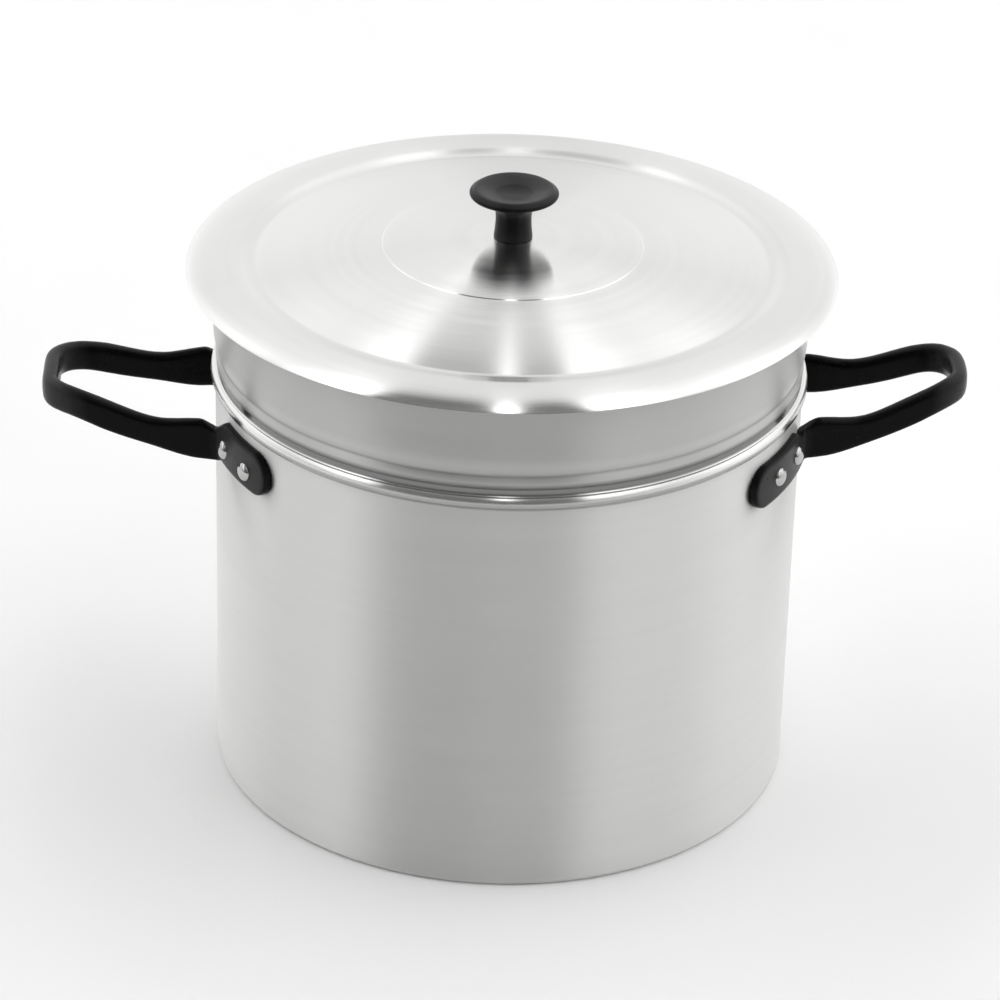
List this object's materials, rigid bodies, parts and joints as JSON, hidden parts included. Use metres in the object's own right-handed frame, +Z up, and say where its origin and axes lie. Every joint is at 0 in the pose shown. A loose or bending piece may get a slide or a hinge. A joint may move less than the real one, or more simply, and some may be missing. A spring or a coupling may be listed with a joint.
{
  "type": "stockpot with lift-out steamer insert",
  "caption": "Straight-sided spun aluminium stockpot with two loop handles, a perforated lift-out insert whose collar stands above the rim, and a wide-brimmed lid with a knob.",
  "frame": {"origin": "centre of the pot's flat base, on the surface that it stands on", "axes": "+Z up along the pot's axis, +X through the handle on the right, -Y towards the front"},
  "size_m": [0.4726, 0.329, 0.3182],
  "materials": {
    "pot_aluminium": "satin, finely turned outside",
    "insert_aluminium": "satin, finely turned",
    "lid_aluminium": "satin, turned in rings",
    "handle_black": "semi-gloss black moulding",
    "knob_black": "semi-gloss black moulding",
    "rivet_aluminium": "bright",
    "bush_brass": "machined",
    "screw_steel": "zinc plated"
  },
  "bodies": {
    "pot": {"pot_body": "pot_aluminium", "handle_left": "handle_black", "handle_right": "handle_black", "rivet_left_front_arm": "rivet_aluminium", "rivet_left_front_tip": "rivet_aluminium", "rivet_left_back_arm": "rivet_aluminium", "rivet_left_back_tip": "rivet_aluminium", "rivet_right_front_arm": "rivet_aluminium", "rivet_right_front_tip": "rivet_aluminium", "rivet_right_back_arm": "rivet_aluminium", "rivet_right_back_tip": "rivet_aluminium"},
    "insert": {"insert_basket": "insert_aluminium"},
    "lid": {"lid": "lid_aluminium", "knob": "knob_black", "knob_bush": "bush_brass", "knob_screw": "screw_steel", "knob_washer": "screw_steel"}
  },
  "joints": [
    {"name": "insert_lift", "type": "slide", "parent": "pot", "child": "insert", "axis": [0, 0, 1], "range_m": [0, 0.2]},
    {"name": "lid_lift", "type": "slide", "parent": "insert", "child": "lid", "axis": [0, 0, 1], "range_m": [0, 0.12]}
  ]
}
